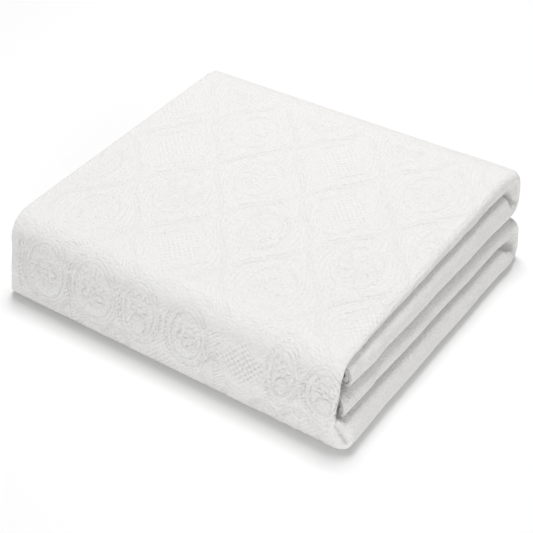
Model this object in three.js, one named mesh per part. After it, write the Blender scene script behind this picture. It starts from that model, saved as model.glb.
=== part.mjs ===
// A white woven bed cover, folded for the shelf. The cloth is one piece. It is folded in three and then
// in half across its width, which gives a strip of six layers with one rounded fold edge. The strip is
// then folded twice along its length, which gives four passes: top, upper, lower and bottom.
// Millimetres. X runs along the spine, Y from the spine to the two loops, Z up from the table.

import * as THREE from 'three';

const { clamp, lerp, smoothstep } = THREE.MathUtils;

// The cloth, and the strip of six layers a little apart
const clothThickness = 2.4;
const layerPitch = 4.2;
const stripHalf = 2.5 * layerPitch + clothThickness / 2;

// The folded pack: the spine on one side and the two loops on the other
const spineY = -170;
const spineTopRadius = 28;
const spineBottomRadius = 9;
const spineInnerRadius = 7;
const spineLean = 6;
const spineWall = 22;
const spineStart = spineY + spineLean + spineTopRadius;
const loopY = 170;
const loopReach = 26;
const loopStart = loopY - loopReach;
const loopSquareness = 4;
const loopGap = 1.6;
const middleGap = 1.2;

// The strip's free ends lie inside the spine, and stand out a little at the fold edge
const freeEnd = { y: -137, from: 150, to: 188, shortBy: 1.5, upperAtEdge: -149, lowerAtEdge: -163 };

// How far each pass reaches along X, and how deep its rounded fold edge is
const passes = {
  top: { back: -187, tip: 176.6, round: 8 },
  upper: { back: -189, tip: 182.6, round: 13 },
  lower: { back: -190, tip: 185.8, round: 11.5 },
  bottom: { back: -193, tip: 193, round: 14.5 },
  spine: { back: -186, tip: 179, round: 6 },
};

// Heights where passes meet: at the spine and at the loops, over most of the pack and at the fold edges
const seams = {
  top: { spine: 87.6, loop: 101.5, spineEdge: 87.6, loopEdge: 101.5 },
  first: { spine: 67, loop: 75, spineEdge: 77, loopEdge: 80 },
  middle: { spine: 46, loop: 48, spineEdge: 51.5, loopEdge: 47 },
  last: { spine: 23, loop: 24, spineEdge: 31, loopEdge: 27 },
};
const edgeZone = { from: 100, to: 140 };

// The two loops: the passes that each one joins, the seam inside it, and how far its fold edge stands out
const loops = {
  upper: { under: 'upper', over: 'top', seam: 'first', outset: 2.3 },
  lower: { under: 'bottom', over: 'lower', seam: 'last', outset: -2 },
};

// Where the strip bends, its fold edge is drawn nearly flat: how thick it is left there, over what depth
// from the edge, and how much of this each bend shows. The two folds inside it stay further back.
const drawn = { thickness: 5.4, from: 7, to: 30, spine: 1, loop: 0.75 };
const innerSteps = { middle: 6, middleDrawn: 24, inner: 12, innerDrawn: 31 };

// Steps along the route and round the folds. A layer's places are the same for all layers, up to its last
// ones: these lie at shares of the way from there to its fold.
const flatPlaces = [-110, -40, 50];
const loopTurns = 7;
const spineTurns = { top: 4, bottom: 5 };
const layerPlaces = [-140, 20, edgeZone.from, edgeZone.to];
const beforeFold = { outer: [0.4, 0.65, 0.88], middle: [0.5], inner: [] };
const foldSquareness = 2.5;
const foldTurns = { outer: 8, middle: 4, inner: 3, back: 4 };

function seamHeight(name, x, y) {
  const seam = seams[name];
  const along = clamp((y - spineStart) / (loopStart - spineStart), 0, 1);
  const body = lerp(seam.spine, seam.loop, along);
  const edge = lerp(seam.spineEdge, seam.loopEdge, along);
  return lerp(body, edge, clamp((x - edgeZone.from) / (edgeZone.to - edgeZone.from), 0, 1));
}

// The two faces of a pass at a place: the one on the inner side of the bends, then the outer one
const passFaces = {
  top: (x, y) => [seamHeight('first', x, y) + loopGap / 2, seamHeight('top', x, y)],
  upper: (x, y) => [seamHeight('first', x, y) - loopGap / 2, seamHeight('middle', x, y) + middleGap / 2],
  lower: (x, y) => [seamHeight('last', x, y) + loopGap / 2, seamHeight('middle', x, y) - middleGap / 2],
  bottom: (x, y) => [seamHeight('last', x, y) - loopGap / 2, 0],
};

// A station is one cross-section of the strip. Its faces give, for any x, the points [y, z] of the
// strip's inner face and outer face.
function flatStation(name, y) {
  return {
    ...passes[name],
    drawn: 0,
    faces: (x) => passFaces[name](x, y).map((z) => [y, z]),
  };
}

function endStation(name, atEdge) {
  const yAt = (x) => lerp(freeEnd.y, atEdge, smoothstep(x, freeEnd.from, freeEnd.to));
  return {
    ...passes[name],
    tip: passes[name].tip - freeEnd.shortBy,
    drawn: 0,
    faces: (x) => passFaces[name](x, yAt(x)).map((z) => [yAt(x), z]),
  };
}

// How much the fold edge is drawn flat at a place, from 0 to 1
function drawnAt(station, x) {
  return station.drawn * (1 - smoothstep(station.tip - x, drawn.from, drawn.to));
}

function loopStation({ under, over, seam, outset }, turn) {
  const angle = (turn - 0.5) * Math.PI;
  const bend = Math.sin(Math.PI * turn);
  const station = {
    back: lerp(passes[under].back, passes[over].back, turn),
    tip: lerp(passes[under].tip, passes[over].tip, turn) + outset * bend,
    round: lerp(passes[under].round, passes[over].round, turn),
    drawn: drawn.loop * bend,
  };
  station.faces = (x) => {
    const axisZ = seamHeight(seam, x, loopStart);
    const side = angle > 0 ? over : under;
    const height = Math.abs(passFaces[side](x, loopStart)[1] - axisZ);
    const across = (Math.abs(Math.cos(angle)) / loopReach) ** loopSquareness;
    const upright = (Math.abs(Math.sin(angle)) / height) ** loopSquareness;
    const outer = (across + upright) ** (-1 / loopSquareness);
    const inner = lerp(loopGap / 2, outer - drawn.thickness, drawnAt(station, x));
    return [inner, outer].map((r) => [loopStart + r * Math.cos(angle), axisZ + r * Math.sin(angle)]);
  };
  return station;
}

function cornerPoint(centreY, centreZ, radius, angle) {
  return [centreY + radius * Math.cos(angle), centreZ + radius * Math.sin(angle)];
}

// The spine's top bend, from the top pass (bend 0) to where the spine stands upright (bend 1)
function topBendStation(bend) {
  const angle = (1 + bend) * (Math.PI / 2);
  const near = smoothstep(bend, 0.4, 1);
  const station = {
    back: lerp(passes.top.back, passes.spine.back, bend),
    tip: lerp(passes.top.tip, passes.spine.tip, near),
    round: lerp(passes.top.round, passes.spine.round, near),
    drawn: drawn.spine * smoothstep(bend, 0.1, 0.9),
  };
  station.faces = (x) => {
    const outerZ = seamHeight('top', x, spineStart) - spineTopRadius;
    const innerZ = seamHeight('first', x, spineStart) + loopGap / 2 - spineInnerRadius;
    const innerY = spineY + spineLean + spineWall + spineInnerRadius;
    const outer = cornerPoint(spineStart, outerZ, spineTopRadius, angle);
    const inner = cornerPoint(innerY, innerZ, spineInnerRadius, angle);
    const span = Math.hypot(outer[0] - inner[0], outer[1] - inner[1]);
    const share = drawnAt(station, x) * (1 - drawn.thickness / span);
    return [[lerp(inner[0], outer[0], share), lerp(inner[1], outer[1], share)], outer];
  };
  return station;
}

// The spine's foot, from where it stands upright (bend 0), round the bottom corner, to the bottom pass
// (bend 1). The inner face turns about one small corner while the outer face comes down and round.
function footStation(bend) {
  const angle = (2 + bend) * (Math.PI / 2);
  const near = 1 - smoothstep(bend, 0.2, 1);
  const station = {
    back: lerp(passes.bottom.back, passes.spine.back, 1 - bend),
    tip: lerp(passes.bottom.tip, passes.spine.tip, near),
    round: lerp(passes.bottom.round, passes.spine.round, near),
    drawn: drawn.spine * near,
  };
  station.faces = (x) => {
    const cornerZ = seamHeight('last', x, spineStart) - loopGap / 2 + spineInnerRadius;
    const edge = 1 - smoothstep(passes.spine.tip - x, drawn.from, drawn.to);
    const wall = lerp(spineWall, drawn.thickness, edge);
    const inner = cornerPoint(spineY + wall + spineInnerRadius, cornerZ, spineInnerRadius, angle);
    const drop = Math.min(2 * bend, 1);
    const turned = Math.max(2 * bend - 1, 0);
    const centreZ = lerp(cornerZ, spineBottomRadius, drop);
    const outer = cornerPoint(spineY + spineBottomRadius, centreZ, spineBottomRadius, (2 + turned) * (Math.PI / 2));
    return [inner, outer];
  };
  return station;
}

// The strip's route, from its free end in the upper pass round to its free end in the lower pass
function stripRoute() {
  const inwards = [...flatPlaces].reverse();
  const turns = (count) => Array.from({ length: count + 1 }, (_, i) => i / count);
  return [
    endStation('upper', freeEnd.upperAtEdge),
    ...flatPlaces.map((y) => flatStation('upper', y)),
    ...turns(loopTurns).map((turn) => loopStation(loops.upper, turn)),
    ...inwards.map((y) => flatStation('top', y)),
    ...turns(spineTurns.top).map((bend) => topBendStation(bend)),
    ...turns(spineTurns.bottom).map((bend) => footStation(bend)),
    ...flatPlaces.map((y) => flatStation('bottom', y)),
    ...turns(loopTurns).map((turn) => loopStation(loops.lower, turn)),
    ...inwards.map((y) => flatStation('lower', y)),
    endStation('lower', freeEnd.lowerAtEdge),
  ];
}

// One face of the cloth, as the back-and-forth line of its six layers. Height runs from -1 on the
// strip's inner face to +1 on its outer face. Side is +1 for the face on the left of the line.
const clothHalf = clothThickness / 2 / stripHalf;
const layerHeight = (layer) => (layer * layerPitch) / stripHalf;

function layerRun(layer, direction, side, stepAt, shares) {
  const height = layerHeight(layer) + direction * side * clothHalf;
  const points = layerPlaces.map((place) => ({ height, xAt: () => place }));
  for (const share of shares) {
    const foldStart = (station) => station.tip - stepAt(station) - station.round;
    points.push({ height, xAt: (station) => lerp(edgeZone.to, foldStart(station), share) });
  }
  return direction > 0 ? points : points.reverse();
}

function foldEdge(fromLayer, side, steps, stepAt) {
  const upwards = -Math.sign(fromLayer);
  const radius = layerHeight(Math.abs(fromLayer)) - upwards * side * clothHalf;
  return Array.from({ length: steps + 1 }, (_, i) => {
    const angle = upwards * (i / steps - 0.5) * Math.PI;
    const squared = (value) => Math.sign(value) * Math.abs(value) ** (2 / foldSquareness);
    const depth = 1 - radius * squared(Math.cos(angle));
    return {
      height: radius * squared(Math.sin(angle)),
      xAt: (station) => station.tip - stepAt(station) - station.round * depth,
    };
  });
}

function backFold(fromLayer, toLayer, side, steps) {
  const upwards = Math.sign(toLayer - fromLayer);
  const radius = layerPitch / 2 + upwards * side * (clothThickness / 2);
  const depth = layerPitch / 2 + clothThickness / 2;
  return Array.from({ length: steps + 1 }, (_, i) => {
    const angle = upwards * (i / steps - 0.5) * Math.PI;
    return {
      height: layerHeight((fromLayer + toLayer) / 2) + (radius * Math.sin(angle)) / stripHalf,
      xAt: (station) => station.back + depth - radius * Math.cos(angle),
    };
  });
}

function clothEdge(layer, direction, side, inset) {
  const height = layerHeight(layer) + direction * side * clothHalf;
  return { height, xAt: (station) => station.back + inset };
}

const outerStep = () => 0;
const middleStep = (station) => lerp(innerSteps.middle, innerSteps.middleDrawn, station.drawn);
const innerStep = (station) => lerp(innerSteps.inner, innerSteps.innerDrawn, station.drawn);

function clothFace(side) {
  const { outer, middle, inner, back } = foldTurns;
  return [
    clothEdge(-2.5, 1, side, 2),
    ...layerRun(-2.5, 1, side, outerStep, beforeFold.outer),
    ...foldEdge(-2.5, side, outer, outerStep),
    ...layerRun(2.5, -1, side, outerStep, beforeFold.outer),
    ...backFold(2.5, 1.5, side, back),
    ...layerRun(1.5, 1, side, middleStep, beforeFold.middle),
    ...foldEdge(1.5, side, middle, middleStep),
    ...layerRun(-1.5, -1, side, middleStep, beforeFold.middle),
    ...backFold(-1.5, -0.5, side, back),
    ...layerRun(-0.5, 1, side, innerStep, beforeFold.inner),
    ...foldEdge(-0.5, side, inner, innerStep),
    ...layerRun(0.5, -1, side, innerStep, beforeFold.inner),
    clothEdge(0.5, -1, side, 5),
  ];
}

// The outermost layers keep their thickness wherever the strip is thin or full: only what lies between
// them is closed up or spread
function shareAcross(height, thickness) {
  const between = 1 - 2 * clothHalf;
  const betweenHere = 1 - (2 * clothThickness) / thickness;
  const size = Math.abs(height);
  const placed = size <= between
    ? (size / between) * betweenHere
    : lerp(betweenHere, 1, (size - between) / (1 - between));
  return (1 + Math.sign(height) * placed) / 2;
}

function placePoint(station, point) {
  const x = point.xAt(station);
  const [inner, outer] = station.faces(x);
  const thickness = Math.hypot(outer[0] - inner[0], outer[1] - inner[1]);
  const share = shareAcross(point.height, thickness);
  return [x, lerp(inner[0], outer[0], share), lerp(inner[1], outer[1], share)];
}

function foldedCloth() {
  const left = clothFace(1);
  const right = clothFace(-1);
  const ring = [...left, ...right.reverse()];
  const route = stripRoute();
  const positions = route.flatMap((station) => ring.flatMap((point) => placePoint(station, point)));
  const count = ring.length;
  const index = [];
  const quad = (a, b, c, d) => index.push(a, c, b, a, d, c);
  for (let i = 0; i + 1 < route.length; i += 1) {
    for (let j = 0; j < count; j += 1) {
      const next = (j + 1) % count;
      quad(i * count + j, i * count + next, (i + 1) * count + next, (i + 1) * count + j);
    }
  }
  const last = (route.length - 1) * count;
  for (let j = 0; j + 1 < left.length; j += 1) {
    const far = count - 1 - j;
    quad(j, far, far - 1, j + 1);
    quad(last + j, last + j + 1, last + far - 1, last + far);
  }
  const geometry = new THREE.BufferGeometry();
  geometry.setAttribute('position', new THREE.Float32BufferAttribute(positions, 3));
  geometry.setIndex(index);
  geometry.computeVertexNormals();
  return geometry;
}

const coverCloth = new THREE.MeshStandardMaterial({ color: 0xf1f0ee, roughness: 0.92, metalness: 0 });

const cover = new THREE.Mesh(foldedCloth(), coverCloth);
cover.name = 'folded_cover';

const group = new THREE.Group();
group.add(cover);

export default group;
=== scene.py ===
import math

import bpy
import numpy as np
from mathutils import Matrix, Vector


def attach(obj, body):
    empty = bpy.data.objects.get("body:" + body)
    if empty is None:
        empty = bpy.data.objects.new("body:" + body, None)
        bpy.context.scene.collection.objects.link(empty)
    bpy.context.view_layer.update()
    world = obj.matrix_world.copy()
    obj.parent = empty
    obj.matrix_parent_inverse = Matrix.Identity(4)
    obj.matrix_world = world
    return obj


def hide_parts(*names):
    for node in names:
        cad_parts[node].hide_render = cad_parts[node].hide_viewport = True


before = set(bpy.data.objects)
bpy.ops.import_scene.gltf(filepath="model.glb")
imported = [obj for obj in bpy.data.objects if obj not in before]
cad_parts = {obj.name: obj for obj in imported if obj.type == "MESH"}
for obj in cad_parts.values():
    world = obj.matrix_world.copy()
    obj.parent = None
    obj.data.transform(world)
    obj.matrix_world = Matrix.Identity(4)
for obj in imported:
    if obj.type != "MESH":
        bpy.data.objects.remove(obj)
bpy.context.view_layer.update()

# The camera: a long lens above the near right corner of the bed cover, looking down on it from a little over
# a metre away, at the photograph's angle.
camera_data = bpy.data.cameras.new("camera")
camera_data.sensor_width = 36.0
camera_data.lens = 79.7
camera_data.clip_end = 20.0
camera = bpy.data.objects.new("camera", camera_data)
camera.location = (0.5247, -0.7666, 0.7199)
looks_down, turned = 37.416, 34.645
camera.rotation_euler = (math.radians(90.0 - looks_down), 0.0, math.radians(turned))
bpy.context.scene.collection.objects.link(camera)
bpy.context.scene.camera = camera
bpy.context.scene.view_settings.view_transform = "Standard"

# The bed cover: one piece of white cotton, woven in relief, with its edges hemmed in the same cloth. It is
# folded in three and then in half across its width, and the strip of six layers that this gives is folded
# twice along its length. It lies loose on the floor, held by nothing but its folds. Sizes are in millimetres.
cloth_thickness = 2.4
layer_pitch = 4.2
strip_half = 2.5 * layer_pitch + cloth_thickness / 2
spine_y = -170.0
spine_top_radius = 28.0
spine_bottom_radius = 9.0
spine_inner_radius = 6.0
spine_lean = 6.0
spine_wall = 22.0
spine_start = spine_y + spine_lean + spine_top_radius
loop_y = 170.0
loop_reach = 26.0
loop_start = loop_y - loop_reach
loop_squareness = 4.0
loop_gap = 1.6
middle_gap = 1.2
# the strip's two free ends: where they lie, from where to where along x they slant to their fold edge, how
# much less far that edge stands out, and where the strip runs straight again
free_end = {"y": -137.0, "from": 150.0, "to": 188.0, "short_by": 1.5, "straight_from": -110.0}
free_end_at_edge = {"upper": -149.0, "lower": -163.0}
# pass: how far its layers reach back and forward, and how deep its rounded fold is
passes = {
    "top": (-187.0, 176.6, 8.0),
    "upper": (-189.0, 182.6, 13.0),
    "lower": (-190.0, 185.8, 11.5),
    "bottom": (-193.0, 193.0, 14.5),
    "spine": (-186.0, 179.0, 6.0),
}
# seam: height at the spine and at the loops, over the body and at the fold edge
seams = {
    "top": (87.6, 101.5, 87.6, 101.5),
    "first": (67.0, 75.0, 77.0, 80.0),
    "middle": (46.0, 48.0, 51.5, 47.0),
    "last": (23.0, 24.0, 31.0, 27.0),
}
edge_from, edge_to = 100.0, 140.0
# loop: the passes it joins, under and over, the seam in it, and how far its fold edge stands out
loops = {
    "upper": ("upper", "top", "first", 2.3),
    "lower": ("bottom", "lower", "last", -2.0),
}
# where the strip bends, its fold edge is drawn flat: how thick it is there, over how far from its tip
drawn_thickness, drawn_from, drawn_to = 5.4, 7.0, 30.0
drawn_at_spine, drawn_at_loop = 1.0, 0.75
# the shares of the top bend and of the foot in which the fold edge draws in and gets flat
in_top_bend, flat_in_top_bend, in_foot = (0.4, 1.0), (0.1, 0.9), (0.2, 1.0)
# seams and fold edges wander: where along x the seams start to, and over how far a bend holds them still
uneven_from, uneven_to = 60.0, 150.0
seam_held_over, tip_held_over = 40.0, 30.0
tip_pulled_in = 0.8


def smooth(value, low, high):
    t = np.clip((value - low) / (high - low), 0.0, 1.0)
    return t * t * (3.0 - 2.0 * t)


def blend(a, b, t):
    return a + (b - a) * t


# where: how far it wanders, in millimetres, and the lengths and starts of its two waves along Y
waves = {
    "top": (0.2, 150.0, 0.3, 71.0, 1.9),
    "first": (0.4, 118.0, 2.1, 47.0, 0.4),
    "middle": (0.3, 92.0, 0.7, 39.0, 2.6),
    "last": (0.4, 131.0, 1.5, 53.0, 3.4),
    "tip": (0.25, 101.0, 0.0, 43.0, 1.2),
}


def wander(name, y):
    size, long, long_start, short, short_start = waves[name]
    slow = np.sin(2.0 * math.pi * y / long + long_start)
    quick = np.sin(2.0 * math.pi * y / short + short_start)
    return size * (slow + 0.5 * quick)


def seam_height(name, x, y):
    spine, loop, spine_edge, loop_edge = seams[name]
    along = np.clip((y - spine_start) / (loop_start - spine_start), 0.0, 1.0)
    body = blend(spine, loop, along)
    edge = blend(spine_edge, loop_edge, along)
    held = smooth(y, spine_start, spine_start + seam_held_over) * smooth(loop_start - y, 0.0, seam_held_over)
    uneven = wander(name, y) * held * smooth(x, uneven_from, uneven_to)
    return blend(body, edge, smooth(x, edge_from, edge_to)) + uneven


def pass_faces(name, x, y):
    """The heights of a pass's two faces, first the one inside its loop."""
    if name == "top":
        return seam_height("first", x, y) + loop_gap / 2, seam_height("top", x, y)
    if name == "upper":
        return seam_height("first", x, y) - loop_gap / 2, seam_height("middle", x, y) + middle_gap / 2
    if name == "lower":
        return seam_height("last", x, y) + loop_gap / 2, seam_height("middle", x, y) - middle_gap / 2
    return seam_height("last", x, y) - loop_gap / 2, 0.0 * x


# A station is a place along the strip: how far its layers reach back and forward, how round and how flat its
# fold edge is, and where its two faces are. Its faces take x and give y and z.
def flat_station(name, y):
    back, tip, depth = passes[name]
    held = smooth(y, spine_start, spine_start + tip_held_over) * smooth(loop_start - y, 0.0, tip_held_over)
    # each pass starts its wave at another place
    wave_y = y + 2.0 * tip
    tip = tip + wander("tip", wave_y) * held - tip_pulled_in * held

    def faces(x):
        inner, outer = pass_faces(name, x, y)
        return (y + 0 * x, inner), (y + 0 * x, outer)

    return {"back": back, "tip": tip, "round": depth, "drawn": 0.0, "faces": faces}


def end_station(name, share):
    """The free end, where share 0 is the end itself and share 1 the first straight place."""
    back, tip, depth = passes[name]

    def faces(x):
        slant = smooth(x, free_end["from"], free_end["to"])
        y = blend(blend(free_end["y"], free_end_at_edge[name], slant), free_end["straight_from"], share)
        inner, outer = pass_faces(name, x, y)
        return (y, inner), (y, outer)

    tip = tip - free_end["short_by"] * (1.0 - share)
    return {"back": back, "tip": tip, "round": depth, "drawn": 0.0, "tight": 1.0 - share, "faces": faces}


def loop_station(name, turn):
    """A place on the way round a loop, from its lower pass at 0 to its upper pass at 1."""
    under, over, seam, outset = loops[name]
    angle = (turn - 0.5) * math.pi
    bend = math.sin(math.pi * turn)
    station = {
        "back": blend(passes[under][0], passes[over][0], turn),
        "tip": blend(passes[under][1], passes[over][1], turn) + outset * bend,
        "round": blend(passes[under][2], passes[over][2], turn),
        "drawn": drawn_at_loop * bend,
    }

    def faces(x):
        axis = seam_height(seam, x, loop_start)
        side = over if angle > 0 else under
        height = np.abs(pass_faces(side, x, loop_start)[1] - axis)
        across = (abs(math.cos(angle)) / loop_reach) ** loop_squareness
        upright = (abs(math.sin(angle)) / height) ** loop_squareness
        outer = (across + upright) ** (-1.0 / loop_squareness)
        flat = station["drawn"] * (1.0 - smooth(station["tip"] - x, drawn_from, drawn_to))
        inner = blend(loop_gap / 2, outer - drawn_thickness, flat)
        points = []
        for r in (inner, outer):
            points.append((loop_start + r * math.cos(angle), axis + r * math.sin(angle)))
        return tuple(points)

    station["faces"] = faces
    return station


def top_bend_station(bend):
    """A place on the bend from the top pass, at 0, down into the spine, at 1."""
    angle = (1.0 + bend) * math.pi / 2
    near = smooth(bend, *in_top_bend)
    station = {
        "back": blend(passes["top"][0], passes["spine"][0], bend),
        "tip": blend(passes["top"][1], passes["spine"][1], near),
        "round": blend(passes["top"][2], passes["spine"][2], near),
        "drawn": drawn_at_spine * smooth(bend, *flat_in_top_bend),
    }

    def faces(x):
        outer_z = seam_height("top", x, spine_start) - spine_top_radius
        inner_z = seam_height("first", x, spine_start) + loop_gap / 2 - spine_inner_radius
        inner_y = spine_y + spine_lean + spine_wall + spine_inner_radius
        outer = (
            spine_start + spine_top_radius * math.cos(angle) + 0 * x,
            outer_z + spine_top_radius * math.sin(angle),
        )
        inner = (
            inner_y + spine_inner_radius * math.cos(angle) + 0 * x,
            inner_z + spine_inner_radius * math.sin(angle),
        )
        span = np.hypot(outer[0] - inner[0], outer[1] - inner[1])
        flat = station["drawn"] * (1.0 - smooth(station["tip"] - x, drawn_from, drawn_to))
        share = flat * (1.0 - drawn_thickness / span)
        return (blend(inner[0], outer[0], share), blend(inner[1], outer[1], share)), outer

    station["faces"] = faces
    return station


def foot_station(bend):
    """A place on the bend from the spine, at 0, into the bottom pass, at 1."""
    angle = (2.0 + bend) * math.pi / 2
    near = 1.0 - smooth(bend, *in_foot)
    station = {
        "back": blend(passes["bottom"][0], passes["spine"][0], 1.0 - bend),
        "tip": blend(passes["bottom"][1], passes["spine"][1], near),
        "round": blend(passes["bottom"][2], passes["spine"][2], near),
        "drawn": drawn_at_spine * near,
    }

    def faces(x):
        corner_z = seam_height("last", x, spine_start) - loop_gap / 2 + spine_inner_radius
        edge = 1.0 - smooth(passes["spine"][1] - x, drawn_from, drawn_to)
        wall = blend(spine_wall, drawn_thickness, edge)
        inner = (
            spine_y + wall + spine_inner_radius + spine_inner_radius * math.cos(angle),
            corner_z + spine_inner_radius * math.sin(angle),
        )
        drop = min(2.0 * bend, 1.0)
        turned = (2.0 + max(2.0 * bend - 1.0, 0.0)) * math.pi / 2
        centre_z = blend(corner_z, spine_bottom_radius, drop)
        outer = (
            spine_y + spine_bottom_radius + spine_bottom_radius * math.cos(turned) + 0 * x,
            centre_z + spine_bottom_radius * math.sin(turned),
        )
        return inner, outer

    station["faces"] = faces
    return station


def upright_station(t):
    """The straight part of the spine, between its top bend and its foot."""
    upper = top_bend_station(1.0)
    lower = foot_station(0.0)
    lean = smooth(t, 0.0, 1.0)

    def faces(x):
        points = []
        for a, b in zip(upper["faces"](x), lower["faces"](x)):
            points.append((blend(a[0], b[0], lean), blend(a[1], b[1], t)))
        return tuple(points)

    return {"back": upper["back"], "tip": upper["tip"], "round": upper["round"], "drawn": drawn_at_spine,
            "faces": faces}


# The route of the strip. Each row gives a maker, its range of values, its steps, in how many parts each
# step is divided where the cloth's outer face shows, and whether its first place is the last one again.
fine, foot_fine = 6, 3
# towards a loop the steps get shorter from the first of these places, and in the lower one from both
shorter_from, shortest_from = 118.0, 130.0
end_y = free_end["straight_from"]
route_rows = (
    (lambda t: end_station("upper", t), 0.0, 1.0, 12, 1, False),
    (lambda y: flat_station("upper", y), end_y, shorter_from, 12, 1, True),
    (lambda y: flat_station("upper", y), shorter_from, loop_start, 6, 1, True),
    (lambda t: loop_station("upper", t), 0.0, 1.0, 10, 2, True),
    (lambda y: flat_station("top", y), loop_start, spine_start, 32, fine, True),
    (top_bend_station, 0.0, 1.0, 6, fine, True),
    (upright_station, 0.0, 1.0, 4, fine, True),
    (foot_station, 0.0, 1.0, 8, foot_fine, True),
    (lambda y: flat_station("bottom", y), spine_start, shorter_from, 12, 1, False),
    (lambda y: flat_station("bottom", y), shorter_from, shortest_from, 2, 1, True),
    (lambda y: flat_station("bottom", y), shortest_from, loop_start, 7, 1, True),
    (lambda t: loop_station("lower", t), 0.0, 1.0, 10, 1, True),
    (lambda y: flat_station("lower", y), loop_start, shortest_from, 7, 1, True),
    (lambda y: flat_station("lower", y), shortest_from, shorter_from, 2, 1, True),
    (lambda y: flat_station("lower", y), shorter_from, end_y, 12, 1, True),
    (lambda t: end_station("lower", 1.0 - t), 0.0, 1.0, 4, 1, True),
)
stations = []
main_stations = []
for make, start, stop, steps, parts, joined in route_rows:
    for step in range(steps * parts + 1):
        if step == 0 and joined:
            main_stations[-1] = (len(stations) - 1, parts)
            continue
        if step % parts == 0:
            main_stations.append((len(stations), parts if step < steps * parts else 1))
        stations.append(make(blend(start, stop, step / (steps * parts))))

# The ring: one face of the cloth out and the other face back, each through all six layers
cloth_half = cloth_thickness / 2 / strip_half
fold_squareness = 2.5
# how far behind the outer layer's fold the layers inside it turn: on the flat, where the edge is drawn flat,
# and at the free ends, where they are pressed out to fill the fold and are thicker
inner_steps = {"outer": (0.0, 0.0), "middle": (6.0, 24.0), "inner": (12.0, 31.0)}
tight_steps = {"outer": 0.0, "middle": -0.6, "inner": 0.2}
plumpness = 0.62
# how far in the two hems lie behind the folds of the other layers
outer_hem_in, inner_hem_in = 2.0, 5.0
# where along x a layer has its points, if it is hidden and if it shows
hidden_places = [-140.0, 100.0, 120.0, 140.0]
shown_steps = 33
shown_places = [blend(-184.0, 140.0, i / shown_steps) for i in range(shown_steps + 1)]


def layer_height(layer):
    """How high a layer lies, from -1 to 1. The six layers are numbered -2.5, -1.5 and so on to 2.5."""
    return layer * layer_pitch / strip_half


def fold_start(station, kind):
    """Where along x the fold at the tip of a layer starts."""
    near, far = inner_steps[kind]
    near = blend(near, tight_steps[kind], station.get("tight", 0.0))
    return station["tip"] - blend(near, far, station["drawn"]) - station["round"]


def plump(station, kind):
    """How much thicker than elsewhere the layers inside the strip are, at its free ends."""
    return 1.0 if kind == "outer" else 1.0 + plumpness * station.get("tight", 0.0)


# A point of the ring is a function of the station: it gives x, and a height between the strip's faces
def layer_run(layer, direction, side, kind, places, shares):
    """A layer of the cloth, at the given places and then at shares of the way to where its fold starts."""
    middle = layer_height(layer)
    offset = direction * side * cloth_half
    points = [lambda s, p=place: (p, middle + offset * plump(s, kind)) for place in places]
    for share in shares:
        points.append(lambda s, q=share: (
            blend(edge_to, fold_start(s, kind), q), middle + offset * plump(s, kind),
        ))
    return points if direction > 0 else points[::-1]


def fold_edge(from_layer, side, steps, kind):
    """The rounded fold at the tip, from one layer to the one that lies as far on the other side."""
    upwards = -1.0 if from_layer > 0 else 1.0
    middle = layer_height(abs(from_layer))
    offset = -upwards * side * cloth_half
    points = []
    for i in range(steps + 1):
        angle = upwards * (i / steps - 0.5) * math.pi
        cosine = abs(math.cos(angle)) ** (2.0 / fold_squareness)
        sine = math.copysign(abs(math.sin(angle)) ** (2.0 / fold_squareness), math.sin(angle))
        points.append(lambda s, c=cosine, h=sine: (
            fold_start(s, kind) + s["round"] * c * (middle + offset * plump(s, kind)),
            h * (middle + offset * plump(s, kind)),
        ))
    return points


def back_fold(from_layer, to_layer, side, steps):
    """The small fold at the back, between two layers that lie on each other."""
    upwards = 1.0 if to_layer > from_layer else -1.0
    radius = layer_pitch / 2 + upwards * side * cloth_thickness / 2
    depth = layer_pitch / 2 + cloth_thickness / 2
    points = []
    for i in range(steps + 1):
        angle = upwards * (i / steps - 0.5) * math.pi
        height = layer_height((from_layer + to_layer) / 2) + radius * math.sin(angle) / strip_half
        points.append(lambda s, r=radius * math.cos(angle), h=height: (s["back"] + depth - r, h))
    return points


def cloth_edge(layer, direction, side, inset):
    """A hemmed edge of the cloth, which lies a little inside the back folds."""
    height = layer_height(layer) + direction * side * cloth_half
    return [lambda s: (s["back"] + inset, height)]


def cloth_face(side):
    """The runs of points of one face, in order, each with how its steps are divided, or 0 if it is hidden."""
    shows = side < 0
    places = shown_places if shows else hidden_places
    return (
        (cloth_edge(-2.5, 1, side, outer_hem_in) + layer_run(-2.5, 1, side, "outer", hidden_places, ()), 0),
        (layer_run(-2.5, 1, side, "outer", (), (0.25, 0.5, 0.75, 0.9)), 1 if shows else 0),
        (fold_edge(-2.5, side, 20, "outer"), 1 if shows else 0),
        (layer_run(2.5, -1, side, "outer", places, (0.33, 0.67)), fine if shows else 0),
        (back_fold(2.5, 1.5, side, 8), 0),
        (layer_run(1.5, 1, side, "middle", hidden_places, (0.35, 0.7)), 0),
        (fold_edge(1.5, side, 8, "middle"), 0),
        (layer_run(-1.5, -1, side, "middle", hidden_places, (0.35, 0.7)), 0),
        (back_fold(-1.5, -0.5, side, 4), 0),
        (layer_run(-0.5, 1, side, "inner", hidden_places, (0.5,)), 0),
        (fold_edge(-0.5, side, 4, "inner"), 0),
        (layer_run(0.5, -1, side, "inner", hidden_places, (0.5,)), 0),
        (cloth_edge(0.5, -1, side, inner_hem_in), 0),
    )


# The closed ring of main points, each with how the step after it is divided. The second face runs back.
left_runs = cloth_face(1)
right_runs = cloth_face(-1)
main_ring = [point for run, _ in left_runs for point in run]
half = len(main_ring)
divided = [0] * half
for run, parts in reversed(right_runs):
    backwards = run[::-1]
    main_ring += backwards
    divided += [parts] * len(backwards)
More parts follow.
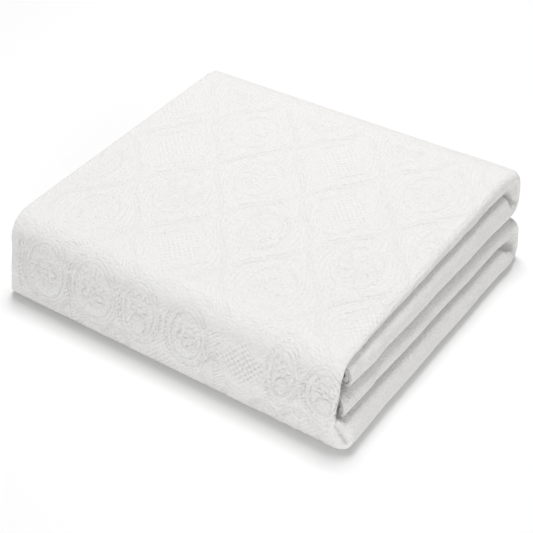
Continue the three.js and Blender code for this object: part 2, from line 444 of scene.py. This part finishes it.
# a run's own count covers the steps inside it, so the step that leaves the shown part is hidden
for i in range(half, len(main_ring)):
    if divided[i] and not divided[(i + 1) % len(main_ring)]:
        divided[i] = 0
ring = []
main_points = []
for i, point in enumerate(main_ring):
    parts = max(divided[i], 1)
    main_points.append((len(ring), parts, divided[i] > 0))
    nearby = main_ring[(i + 1) % len(main_ring)]
    for step in range(parts):
        ring.append((point, nearby, step / parts))
shown_first = next(i for i, row in enumerate(main_points) if row[2])
shown_last = 1 + max(i for i, row in enumerate(main_points) if row[2])

# Where every point of the grid lies: first its x, then its place between the strip's two faces
count = len(ring)
place = np.zeros((count, len(stations), 3))
between = 1.0 - 2.0 * cloth_half
part = np.array([t for _, _, t in ring])
for j, station in enumerate(stations):
    ends = np.array([(*p(station), *q(station)) for p, q, _ in ring])
    x = blend(ends[:, 0], ends[:, 2], part)
    height = blend(ends[:, 1], ends[:, 3], part)
    (inner_y, inner_z), (outer_y, outer_z) = station["faces"](x)
    thickness = np.hypot(outer_y - inner_y, outer_z - inner_z)
    between_here = 1.0 - 2.0 * cloth_thickness / thickness
    size = np.abs(height)
    placed = np.where(
        size <= between,
        size / between * between_here,
        blend(between_here, 1.0, (size - between) / (1.0 - between)),
    )
    share = (1.0 + np.sign(height) * placed) / 2.0
    place[:, j, 0] = x
    place[:, j, 1] = blend(inner_y, outer_y, share)
    place[:, j, 2] = blend(inner_z, outer_z, share)

# Puckers: the cloth is pushed in along short lines. Each has its line, the push and the width.
puckers = (
    # the crease at the foot of the spine
    (
        ((180.8, -166.5, 27.5), (184.3, -166.0, 22.8), (187.4, -165.3, 17.0), (188.8, -164.6, 13.0)),
        (-4.6, 2.8, -0.8), 2.0,
    ),
    # the small folds at the free end of the upper pass
    (((172.0, -126.0, 76.0), (179.0, -132.5, 73.0), (182.0, -142.0, 62.0)), (-0.9, 0.2, -0.7), 1.9),
    (((178.5, -127.0, 73.5), (182.0, -131.0, 66.0), (182.6, -129.0, 57.0)), (-1.0, 0.0, -0.3), 1.9),
    # dents along the fold edges
    (((172.0, -116.0, 77.0), (181.0, -112.0, 71.0)), (-0.8, 0.0, -0.8), 3.0),
    (((174.0, -98.0, 76.5), (181.0, -92.0, 70.0)), (-0.5, 0.0, -0.6), 4.0),
    (((184.5, -121.0, 43.0), (184.0, -110.0, 34.0)), (-0.6, 0.0, 0.2), 4.0),
    (((191.0, -140.0, 20.0), (188.0, -126.0, 8.0)), (-0.7, 0.0, 0.0), 4.0),
    # the crease and the dent in the upper loop
    (
        ((165.0, 150.0, 71.5), (172.5, 156.0, 70.7), (179.5, 158.5, 68.5), (184.0, 161.0, 69.0)),
        (-1.8, 1.8, -1.6), 1.9,
    ),
    (((178.0, 161.0, 86.0), (176.0, 160.0, 78.0)), (-1.2, 1.6, 0.0), 4.0),
    # the creases and the dent in the lower loop
    (((174.0, 137.5, 25.5), (182.0, 136.5, 24.7), (187.0, 138.0, 23.5)), (-1.0, 0.0, -5.0), 2.3),
    (((183.0, 143.0, 26.0), (191.0, 148.0, 23.0)), (0.0, 0.0, -6.0), 5.0),
    (((178.0, 137.5, 24.0), (183.4, 140.3, 21.5), (187.0, 146.0, 18.0)), (-3.2, 1.2, -2.6), 2.0),
    (((184.5, 160.0, 34.0), (183.5, 160.0, 26.0)), (-1.2, 1.4, 0.0), 3.5),
)
for line, push, width in puckers:
    nearest = np.full(place.shape[:2], np.inf)
    for from_corner, to_corner in zip(line, line[1:]):
        start = np.array(from_corner)
        run = np.array(to_corner) - start
        part = np.clip((place - start) @ run / (run @ run), 0.0, 1.0)
        nearest = np.minimum(nearest, np.linalg.norm(place - start - part[..., None] * run, axis=2))
    place += np.exp(-((nearest / width) ** 2))[..., None] * np.array(push)

# The flat cloth: how far each point of the ring lies across it, measured at a station on the top pass where
# the layers are flat, and how far each station lies along it
measured_station = 132
ring_step = np.linalg.norm(np.diff(place[:, measured_station], axis=0), axis=1)
across = np.concatenate([[0.0], np.cumsum(ring_step)])
middle_point = main_points[(shown_first + shown_last) // 2][0]
route_step = np.linalg.norm(np.diff(place[middle_point], axis=0), axis=1)
along = np.concatenate([[0.0], np.cumsum(route_step)])
u = np.repeat(across[:, None] - across[middle_point], len(stations), axis=1)
v = np.repeat(along[None, :], count, axis=0)

# The woven pattern of the outer face, drawn in millimetres across (u, the same as x where the cloth is
# flat) and along (w, from the upper loop). Wavy pairs of lines part the cloth into tall cells. Each cell
# holds a waffle, a spray of leaves, a flower or a ring with a flower in it, with leaves that close up at its
# ends. A row of rings runs along the spine, with a row of smaller leaves under it.

# the pairs of lines: how far apart, how far they sway to each side, the length of a wave, half a pair's width
column, sway, repeat, half_pair = 50.0, 21.5, 128.0, 1.7
# the columns and rows of cells that cover the outer face
first_column, last_column = -5, 5
cell_rows = range(-1, 4)
# the middles of the cells: half the width and height of a waffle, and of the oval of a flower, ring or spray
waffle_half, oval_half = (25.0, 31.0), (22.0, 28.0)
# how far a cell stays inside its lines, a waffle inside its outline, and the long leaves outside a middle
cell_edge, waffle_margin, cell_clear = 2.4, 5.0, 1.0
# a flower's radius and petals, a ring's half width, half height and petals, and a spray's three leaves
cell_flower, cell_ring = (19.0, 8), (20.0, 25.0, 6)
middle_leaf, side_leaf, leaves_apart, leaves_lean = (8.0, 25.0), (5.5, 18.0), 12.5, 0.2
# the long leaves that close up at the ends of a cell: from what half width a cell is wide, how many leaves
# lie in each half of a wide and of a narrow cell, and how far they bow
wide_cell, wide_cell_leaves, narrow_cell_leaves, leaf_bow = 25.0, 8.0, 4.0, 0.12
# such a leaf has no ribs where it is narrower than the first width, and full ones from the second
no_ribs_width, full_ribs_width = 1.3, 2.2
# ribs and the veins of leaves: how far apart, how much they slant, and how softly they start
rib_pitch, vein_pitch, slant, rib_edge = 4.4, 4.0, 0.9, 0.8
# inside their outlines: a ring's second line and its ribs, and a leaf's second line and its veins
ring_band, ring_ribs_in, leaf_border, leaf_ribs_in = 4.6, 6.0, 3.4, 4.4
# how far inside its outline a waffle starts, and how softly
waffle_in, waffle_edge = 1.0, 3.5
# how strong the ribs of petals, rings and cells are, beside those of a leaf, and how many half a ring has
petal_ribs, ring_ribs, cell_ribs, half_ring_ribs = 0.9, 0.8, 0.9, 12.0
# the lines of a flower are thinner than the others by this much
thinner = 0.2
# a flower, in shares of its radius: where the notches between its petals are, how far the petals stand out
# from them, its eye, and where the ribs of the petals start
notch, petal, eye, petal_ribs_from = 0.55, 0.4, 0.22, 0.35
# a ring, in shares of its half width or height: its flower, and the clear space around that. In a tall ring
# the flower lies lower, and above it there is a bud.
ring_flower, ring_clear, tall_ring, flower_down = 0.55, 1.12, 1.3, 0.25
bud_up, bud_wide, bud_tall = 0.4, 0.4, 0.34
# how far a groove reaches, and a distance that counts as nowhere near one
groove_reach, nowhere = 4.0, 9.0
# where along the cloth the row of rings starts, and where the foot of the spine lies
rings_from, foot_w = 302.0, 383.6
# the ribs of its ground: how strong they are, and over how far they start
ground_ribs, ground_ribs_over = 0.65, 20.0
# around each motif of the row, in shares of its size: its reach, its outer line and its own edge
row_reach, row_line, row_edge = 1.25, 1.13, 1.02
# what is woven along the spine: its middle across, its height on the spine, half its width and height, and
# how many petals its flower has
spine_row = (
    ("ring", -141.0, 47.0, 26.0, 32.0, 8),
    ("ring", -83.0, 50.0, 27.0, 31.0, 6),
    ("ring", -29.0, 50.0, 21.0, 28.0, 6),
    ("ring", 24.0, 49.0, 21.0, 27.0, 5),
    ("waffle", 85.0, 47.0, 24.0, 25.0, 0),
    ("ring", 125.0, 52.0, 16.0, 28.0, 4),
    ("ring", 163.0, 50.0, 17.0, 26.0, 5),
    ("leaf", -174.0, 46.0, 9.0, 30.0, 0),
    ("leaf", -110.0, 13.0, 14.0, 17.0, 0),
    ("waffle", -4.0, 9.0, 27.0, 17.0, 0),
    ("leaf", 56.0, 20.0, 17.0, 27.0, 0),
    ("leaf", 144.0, 10.0, 20.0, 15.0, 0),
    ("leaf", -56.0, 11.0, 17.0, 15.0, 0),
    ("leaf", 108.0, 9.0, 14.0, 12.0, 0),
)

# the part of the outer face that shows, on which the pattern is drawn
shown = slice(main_points[shown_first][0], main_points[shown_last][0] + 1)
fine_start = next(j for j, parts in main_stations if parts == fine)
fine_stop = [j for j, parts in main_stations if parts == foot_fine][-1] + foot_fine
route_shown = slice(fine_start, fine_stop + 1)
skin = place[shown, route_shown]
middle_row = int(np.argmin(np.abs(skin[:, 0, 0])))
u_line = u[shown, 0] - u[shown, 0][middle_row] + skin[middle_row, 0, 0]
w_line = v[0, route_shown] - v[0, fine_start]
woven_u, woven_w = np.meshgrid(u_line, w_line, indexing="ij")
to_line = np.full(woven_u.shape, nowhere)
waffled = np.zeros(woven_u.shape)
rib_turns = woven_w / rib_pitch
ribbed = np.zeros(woven_u.shape)


def distance(field):
    """How far each place is from where a field is 0, in millimetres."""
    steep = np.hypot(*np.gradient(field, u_line, w_line))
    return field / np.maximum(steep, 1e-4)


def draw(far, where_drawn):
    """Weaves a thin groove where far is 0."""
    to_line[where_drawn] = np.minimum(to_line, np.abs(far))[where_drawn]


def inside(far, edge):
    """1 where a distance to an outline is negative, falling to 0 over the given edge."""
    return 1.0 - smooth(far, -edge, edge)


def weave_ribs(turns, strength):
    """Weaves fine ribs, one for each whole turn, where they are stronger than those already there."""
    stronger = strength > ribbed
    rib_turns[stronger] = turns[stronger]
    ribbed[stronger] = strength[stronger]


def weave_waffle(far, where_drawn):
    """Weaves a waffle where the distance to its outline is negative."""
    waffled[where_drawn] = np.maximum(waffled, inside(far + waffle_in, waffle_edge))[where_drawn]


def weave_flower(x, y, radius, petals, where_drawn):
    """A flower with a small round eye, and a rib on each petal."""
    r = np.hypot(x, y)
    angle = np.arctan2(x, y)
    edge = r - (notch + petal * np.abs(np.cos(petals * angle / 2.0))) * radius
    far = distance(edge)
    draw(np.abs(far) + thinner, where_drawn & (r < 1.1 * radius))
    draw(np.abs(r - eye * radius) + thinner, where_drawn)
    strength = petal_ribs * inside(far + 1.0, rib_edge) * inside(petal_ribs_from * radius - r, rib_edge)
    weave_ribs(petals * angle / math.pi, strength * where_drawn)


def weave_ring(x, y, wide, tall, petals, where_drawn):
    """A ring between two lines, with a flower in it and short ribs around that. A tall one has a bud too."""
    outer = distance(np.hypot(x / wide, y / tall) - 1.0)
    draw(outer, where_drawn)
    draw(outer + ring_band, where_drawn)
    flower_radius = ring_flower * wide
    if tall > tall_ring * wide:
        weave_flower(x, y + flower_down * tall, flower_radius, petals, where_drawn)
        bud = np.hypot(x / (bud_wide * wide), (y - bud_up * tall) / (bud_tall * tall)) - 1.0
        draw(distance(bud), where_drawn)
    else:
        weave_flower(x, y, flower_radius, petals, where_drawn)
    from_flower = np.hypot(x, y) - ring_clear * flower_radius
    angle = np.arctan2(x, y)
    strength = ring_ribs * inside(outer + ring_ribs_in, rib_edge) * inside(-from_flower, rib_edge)
    weave_ribs(half_ring_ribs * angle / math.pi, strength * where_drawn)


def weave_leaf(x, y, wide, tall, where_drawn):
    """A pointed leaf with a middle vein and side veins, inside an outline."""
    outline = np.abs(x) / wide + (y / tall) ** 2 - 1.0
    far = distance(outline)
    draw(far, where_drawn)
    draw(far + leaf_border, where_drawn)
    draw(x, where_drawn & (far < -leaf_border))
    weave_ribs((y + slant * np.abs(x)) / vein_pitch, inside(far + leaf_ribs_in, rib_edge) * where_drawn)


# the wavy pairs of lines, every other one swaying the other way
swing = sway * np.cos(2.0 * math.pi * woven_w / repeat)
everywhere = np.ones(woven_u.shape, dtype=bool)
for m in range(first_column, last_column + 1):
    sign = 1.0 if m % 2 == 0 else -1.0
    far = distance(woven_u - m * column - sign * swing)
    draw(np.abs(far) - half_pair, everywhere)

# The cells between them. Four kinds take turns across, and each row of cells starts with another one.
kind_starts = (0, 3, 1, 3)
for m in range(first_column, last_column):
    sign = 1.0 if m % 2 == 0 else -1.0
    wide = 0.5 * column - sign * swing
    first = repeat / 2 if m % 2 == 0 else 0.0
    for k in cell_rows:
        x = woven_u - (m + 0.5) * column
        y = woven_w - first - k * repeat
        cell = (np.abs(x) < wide - cell_edge) & (np.abs(y) < 0.5 * repeat)
        if not cell.any():
            continue
        kind = ("waffle", "spray", "flower", "ring")[(m + kind_starts[k % 4]) % 4]
        if kind == "waffle":
            far = distance(np.abs(x) / waffle_half[0] + np.abs(y) / waffle_half[1] - 1.0) - waffle_margin
        else:
            far = distance(np.hypot(x / oval_half[0], y / oval_half[1]) - 1.0)
        # ribs run along the cell like long leaves, and close up towards its two ends
        bowed = x / wide * (1.0 + leaf_bow * np.cos(2.0 * math.pi * y / repeat))
        leaves = np.where(wide > wide_cell, wide_cell_leaves, narrow_cell_leaves)
        strength = cell_ribs * smooth(wide / leaves, no_ribs_width, full_ribs_width)
        weave_ribs(bowed * leaves, strength * (cell & (far > cell_clear)))
        middle_part = cell & (far <= cell_clear)
        if kind == "waffle":
            weave_waffle(far + waffle_margin, middle_part)
            continue
        draw(far, middle_part)
        if kind == "flower":
            weave_flower(x, y, *cell_flower, middle_part)
        elif kind == "ring":
            weave_ring(x, y, *cell_ring, middle_part)
        else:
            weave_leaf(x, y, *middle_leaf, middle_part)
            for side in (-1.0, 1.0):
                weave_leaf(x - leaves_apart * side + leaves_lean * side * y, y - 2.0, *side_leaf, middle_part)

# the row along the spine takes the place of the cells, on a ground of slanting ribs
row = woven_w > rings_from
to_line = np.where(row, nowhere, to_line)
waffled = waffled * (1.0 - row)
rib_turns = np.where(row, (woven_w + slant * woven_u) / rib_pitch, rib_turns)
ribbed = np.where(row, ground_ribs * smooth(woven_w, rings_from, rings_from + ground_ribs_over), ribbed)
taken = np.zeros(woven_u.shape, dtype=bool)
for kind, middle_u, height_z, wide, tall, petals in spine_row:
    x = woven_u - middle_u
    y = woven_w - (foot_w - height_z)
    around = np.hypot(x / wide, y / tall)
    near = row & (around < row_reach) & ~taken
    here = near & (around < row_edge)
    ribbed[here] = 0.0
    if kind == "ring":
        draw(distance(around - row_line), near)
        weave_ring(x, y, wide, tall, petals, here)
    elif kind == "waffle":
        weave_waffle(distance(np.abs(x) / wide + np.abs(y) / tall - 1.0), here)
    else:
        weave_leaf(x, y, wide, tall, here)
    taken |= here

# The pattern stands out along the cloth's normal, and fades at the border of the part that shows. It is bold
# on the spine, soft on the top and softest on the bend between them, where the yarns are stretched. Its
# boldness also sets how strong the painted shade and highlight of its figures are.
fade_over = 8.0
spine_from, spine_to = 285.0, 335.0
bend_from, bend_to = (258.0, 280.0), (298.0, 314.0)
top_rise, spine_rise = 0.2, 0.45
top_bold, spine_bold, plain_bold = 0.42, 1.0, 1.25
# how strong the ribs are on the top, beside the spine, and the most that they may turn between two points
top_ribs, most_turn = 1.6, 0.48
# on the bend: the share of the rise and of the boldness that is lost
bend_rise_lost, bend_bold_lost = 0.5, 0.45
# how far from a groove the cloth is at its highest
pillow_over = 2.6
normal = np.cross(np.gradient(skin, axis=1), np.gradient(skin, axis=0))
normal /= np.linalg.norm(normal, axis=2, keepdims=True)
from_nose = np.linalg.norm(skin - skin[:1], axis=2)
from_back = np.linalg.norm(skin - skin[-1:], axis=2)
fade = smooth(from_nose, 0.0, fade_over) * smooth(from_back, 0.0, fade_over)
fade *= smooth(woven_w, 0.0, fade_over) * smooth(woven_w[:, -1:] - woven_w, 0.0, fade_over)
on_spine = smooth(woven_w, spine_from, spine_to)
on_bend = smooth(woven_w, *bend_from) * (1.0 - smooth(woven_w, *bend_to))
# ribs stop where their count jumps, by more of a turn than the grid can carry from one point to the next
for axis in (0, 1):
    jump = np.abs(np.diff(rib_turns, axis=axis)) > most_turn
    before = [slice(None), slice(None)]
    before[axis] = slice(None, -1)
    after = [slice(None), slice(None)]
    after[axis] = slice(1, None)
    ribbed[tuple(before)][jump] = 0.0
    ribbed[tuple(after)][jump] = 0.0
# between grooves the cloth is raised like a pillow
pillow = smooth(to_line, 0.0, pillow_over) - 0.5
rise = pillow * fade * blend(top_rise, spine_rise, on_spine) * (1.0 - bend_rise_lost * on_bend)
place[shown, route_shown] = skin + normal * rise[..., None]
woven = {
    "to_line": np.minimum(to_line, groove_reach) + groove_reach * (1.0 - fade),
    "waffled": waffled * fade,
    "rib_turns": rib_turns,
    "ribbed": ribbed * fade * blend(top_ribs, 1.0, on_spine),
    "bold": blend(plain_bold, blend(top_bold, spine_bold, on_spine) * (1.0 - bend_bold_lost * on_bend), fade),
}
# the rest of the cloth is plain
plain = {"to_line": groove_reach, "bold": plain_bold}
woven_over_all = {}
for name, field in woven.items():
    over_all = np.full(place.shape[:2], plain.get(name, 0.0))
    over_all[shown, route_shown] = field
    woven_over_all[name] = over_all

# Faces: small quads where the outer face shows, and one polygon for every other step of the grid, which
# takes in the small points on its border
faces = []


def number(a, b):
    """The number of a grid point, on the closed ring and along the strip."""
    return (a % count) * len(stations) + b


def is_fine(i, j):
    """Whether the step after this main point and main station is divided."""
    if not 0 <= j < len(main_stations) - 1:
        return False
    return main_points[i % len(main_points)][2] and main_stations[j][1] > 1


for i, (a0, ring_parts, _) in enumerate(main_points):
    a1 = a0 + ring_parts
    for j in range(len(main_stations) - 1):
        b0 = main_stations[j][0]
        b1 = main_stations[j + 1][0]
        if is_fine(i, j):
            for a in range(a0, a1):
                for b in range(b0, b1):
                    faces.append((number(a, b), number(a, b + 1), number(a + 1, b + 1), number(a + 1, b)))
            continue
        first_side = range(b0, b1) if is_fine(i - 1, j) else (b0,)
        far_side = range(b1, b0, -1) if is_fine(i + 1, j) else (b1,)
        last_side = range(a0, a1) if is_fine(i, j + 1) else (a0,)
        near_side = range(a1, a0, -1) if is_fine(i, j - 1) else (a1,)
        corners = [number(a0, b) for b in first_side]
        corners += [number(a, b1) for a in last_side]
        corners += [number(a1, b) for b in far_side]
        corners += [number(a, b0) for a in near_side]
        faces.append(tuple(corners))

# The two free ends of the strip are closed between the cloth's two faces. A step whose faces have the
# same number of points is a quad, and the one long step of the outer layer is a polygon.
last = len(stations) - 1
near_first = 0
far_first = len(main_points) - 1
for run, other in zip(left_runs, right_runs):
    near_steps = len(run[0]) - 1
    far_steps = len(other[0]) - 1
    if run is not left_runs[-1]:
        near_steps += 1
        far_steps += 1
    if near_steps == far_steps:
        rows = []
        for k in range(near_steps):
            rows.append(([near_first + k, near_first + k + 1], [far_first - k, far_first - k - 1]))
    else:
        whole_near = list(range(near_first, near_first + near_steps + 1))
        whole_far = list(range(far_first, far_first - far_steps - 1, -1))
        rows = [(whole_near, whole_far)]
    for near_row, far_row in rows:
        outline = [main_points[i][0] for i in near_row + far_row[::-1]]
        faces.append(tuple(number(a, 0) for a in outline))
        faces.append(tuple(number(a, last) for a in reversed(outline)))
    near_first += near_steps
    far_first -= far_steps

# The mesh holds the points that its faces use, in metres
used = sorted({corner for face in faces for corner in face})
where = {corner: k for k, corner in enumerate(used)}
cloth = bpy.data.meshes.new("bed_cover")
points = place.reshape(-1, 3)[used] / 1000.0
cloth.from_pydata(points.tolist(), [], [[where[c] for c in face] for face in faces])
cloth.update()
uv = cloth.uv_layers.new(name="flat")
corner_vertex = np.zeros(len(cloth.loops), dtype=np.int32)
cloth.loops.foreach_get("vertex_index", corner_vertex)
flat = np.stack([u.reshape(-1)[used], v.reshape(-1)[used]], axis=1) / 1000.0
uv.data.foreach_set("uv", flat[corner_vertex].astype(np.float32).reshape(-1))
for name, field in woven_over_all.items():
    cloth.attributes.new(name, "FLOAT", "POINT").data.foreach_set("value", field.reshape(-1)[used])
cloth.polygons.foreach_set("use_smooth", [True] * len(cloth.polygons))
cloth.set_sharp_from_angle(angle=math.radians(50.0))
cover = bpy.data.objects.new("bed_cover", cloth)
bpy.context.scene.collection.objects.link(cover)

# The cotton: matt, nearly white yarn, washed until it is crinkled all over. It is woven in figures that are
# parted by grooves. Less light gets into the grooves and between the yarns, and that shade is painted into
# the colour.
# the cotton's own colour, and the darker colour towards which shade is painted
light_cotton = (0.875, 0.868, 0.853, 1.0)
shaded_cotton = (0.62, 0.612, 0.595, 1.0)
# in millimetres, as the distances that the mesh holds
groove_width = 1.4
# in metres, as the mesh and its flat map
waffle_pitch = 0.0043
yarn_relief, crinkle_relief, pattern_relief = 0.0005, 0.0014, 0.001
# how high the figures stand, as shares of the relief; how strongly painted shade darkens the grooves and the
# hollows of the crinkle and grain, and painted highlight lightens the dots and ribs; and how far the whole
# cloth lies towards the darker colour
dot_rise, rib_rise, groove_depth = 0.16, 0.16, 0.42
groove_painted_shade, dot_painted_highlight, rib_painted_highlight = 0.3, 0.2, 0.1
crinkle_painted_shade, grain_painted_shade, all_dark = 0.35, 0.7, 0.13
material = bpy.data.materials.new("woven_cotton")
material.use_nodes = True
tree = material.node_tree
shader = tree.nodes["Principled BSDF"]
shader.inputs["Roughness"].default_value = 0.9
shader.inputs["Sheen Weight"].default_value = 0.1


class Value:
    """A number that varies over the cotton. A sum on it adds Math nodes to the material."""

    def __init__(self, socket):
        self.socket = socket

    @classmethod
    def node(cls, kind, settings, sockets, output=0):
        """Adds a node. Its settings are set first, and then the values or links of its sockets."""
        made = tree.nodes.new(kind)
        for name, setting in settings.items():
            setattr(made, name, setting)
        for name, value in sockets.items():
            if isinstance(value, cls):
                tree.links.new(value.socket, made.inputs[name])
            else:
                made.inputs[name].default_value = value
        return cls(made.outputs[output])

    @classmethod
    def sum(cls, operation, *values):
        return cls.node("ShaderNodeMath", {"operation": operation}, dict(enumerate(values)))

    def __add__(self, other):
        return self.sum("ADD", self, other)

    def __radd__(self, other):
        return self.sum("ADD", other, self)

    def __sub__(self, other):
        return self.sum("SUBTRACT", self, other)

    def __rsub__(self, other):
        return self.sum("SUBTRACT", other, self)

    def __mul__(self, other):
        return self.sum("MULTIPLY", self, other)

    def __rmul__(self, other):
        return self.sum("MULTIPLY", other, self)

    def cosine(self):
        return self.sum("COSINE", self)


def stored(name):
    """A field that the mesh holds for each of its points."""
    return Value.node("ShaderNodeAttribute", {"attribute_name": name}, {}, "Fac")


# the crinkles, which run a little longer across the cloth, and the grain of the yarn
place_in_cloth = Value.node("ShaderNodeTexCoord", {}, {}, "Object")
stretched = Value.node("ShaderNodeMapping", {}, {"Vector": place_in_cloth, "Scale": (1.0, 1.6, 1.6)})
crinkle = Value.node("ShaderNodeTexNoise", {}, {
    "Vector": stretched, "Scale": 330.0, "Detail": 3.0, "Roughness": 0.6, "Distortion": 0.3,
})
grain = Value.node("ShaderNodeTexNoise", {}, {
    "Vector": place_in_cloth, "Scale": 520.0, "Detail": 1.0, "Roughness": 0.6,
})

# the woven figures: grooves, waffle dots on a slanting grid, and ribs
bold = stored("bold")
past_groove = Value.node("ShaderNodeMapRange", {"interpolation_type": "SMOOTHSTEP"}, {
    "Value": stored("to_line"), "From Min": 0.0, "From Max": groove_width,
})
groove = (1.0 - past_groove) * bold
flat_place = Value.node("ShaderNodeUVMap", {"uv_map": "flat"}, {})
flat_u = Value.node("ShaderNodeSeparateXYZ", {}, {"Vector": flat_place}, 0)
flat_v = Value.node("ShaderNodeSeparateXYZ", {}, {"Vector": flat_place}, 1)
waffle_turn = 2.0 * math.pi / waffle_pitch * math.sqrt(0.5)
dots = (waffle_turn * (flat_u + flat_v)).cosine() + (waffle_turn * (flat_u - flat_v)).cosine()
dots = dots * stored("waffled") * bold
ribs = (2.0 * math.pi * stored("rib_turns")).cosine() * stored("ribbed") * bold
height = dot_rise * dots + rib_rise * ribs - groove_depth * groove

# the relief, from the finest to the boldest
grain_bump = Value.node("ShaderNodeBump", {}, {"Strength": 1.0, "Distance": yarn_relief, "Height": grain})
crinkle_bump = Value.node("ShaderNodeBump", {}, {
    "Strength": 1.0, "Distance": crinkle_relief, "Height": crinkle, "Normal": grain_bump,
})
bump = Value.node("ShaderNodeBump", {}, {
    "Strength": 1.0, "Distance": pattern_relief, "Height": height, "Normal": crinkle_bump,
})
tree.links.new(bump.socket, shader.inputs["Normal"])

# the colour, from the light cotton to the shaded one, with painted shade in the grooves and in the hollows
# of the crinkle and grain, and painted highlight on the raised dots and ribs: socket 0 is the share, and 6
# and 7 are the two colours
# the crinkle and the grain are painted lighter where they stand up and darker in their hollows, as painted
# shade
uneven = crinkle_painted_shade * crinkle + grain_painted_shade * grain - 0.5 * (crinkle_painted_shade + grain_painted_shade)
shade = groove_painted_shade * groove - dot_painted_highlight * dots - rib_painted_highlight * ribs - uneven * bold + all_dark
colour = Value.node("ShaderNodeMix", {"data_type": "RGBA"}, {0: shade, 6: light_cotton, 7: shaded_cotton}, 2)
tree.links.new(colour.socket, shader.inputs["Base Color"])
cloth.materials.append(material)

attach(cover, "root")
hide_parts("folded_cover")

# The floor: a wide, flat sheet of pale, matt studio paper that the bed cover lies on. It isn't part of the
# object.
floor_mesh = bpy.data.meshes.new("floor")
floor_mesh.from_pydata([(-6, -6, 0), (6, -6, 0), (6, 6, 0), (-6, 6, 0)], [], [(0, 1, 2, 3)])
floor = bpy.data.objects.new("floor", floor_mesh)
bpy.context.scene.collection.objects.link(floor)
floor_paint = bpy.data.materials.new("pale_floor")
floor_paint.use_nodes = True
floor_shader = floor_paint.node_tree.nodes["Principled BSDF"]
floor_shader.inputs["Base Color"].default_value = (0.94, 0.94, 0.94, 1.0)
floor_shader.inputs["Roughness"].default_value = 1.0
floor_shader.inputs["Specular IOR Level"].default_value = 0.0
floor_mesh.materials.append(floor_paint)

# The light: a pale studio all round, a soft lamp above and a little behind, which leaves the near sides in
# shade, and two weaker ones that light up those sides and the folds.
world = bpy.data.worlds.new("studio")
world.use_nodes = True
world.node_tree.nodes["Background"].inputs["Color"].default_value = (1.0, 1.0, 1.0, 1.0)
world.node_tree.nodes["Background"].inputs["Strength"].default_value = 0.312
bpy.context.scene.world = world

# lamp: where it stands, its size in metres and its power in watts
lamps = {
    "key": ((-0.25, 0.5, 2.2), 0.9, 38.4),
    "front": ((0.9, -1.65, 0.45), 0.7, 12.0),
    "side": ((1.9, 0.0, 0.4), 0.7, 2.2),
}
for name, (where_it_is, size, power) in lamps.items():
    lamp_data = bpy.data.lights.new(name, "AREA")
    lamp_data.shape = "SQUARE"
    lamp_data.size = size
    lamp_data.energy = power
    lamp = bpy.data.objects.new(name, lamp_data)
    lamp.location = where_it_is
    lamp.rotation_euler = Vector(where_it_is).to_track_quat("Z", "Y").to_euler()
    bpy.context.scene.collection.objects.link(lamp)
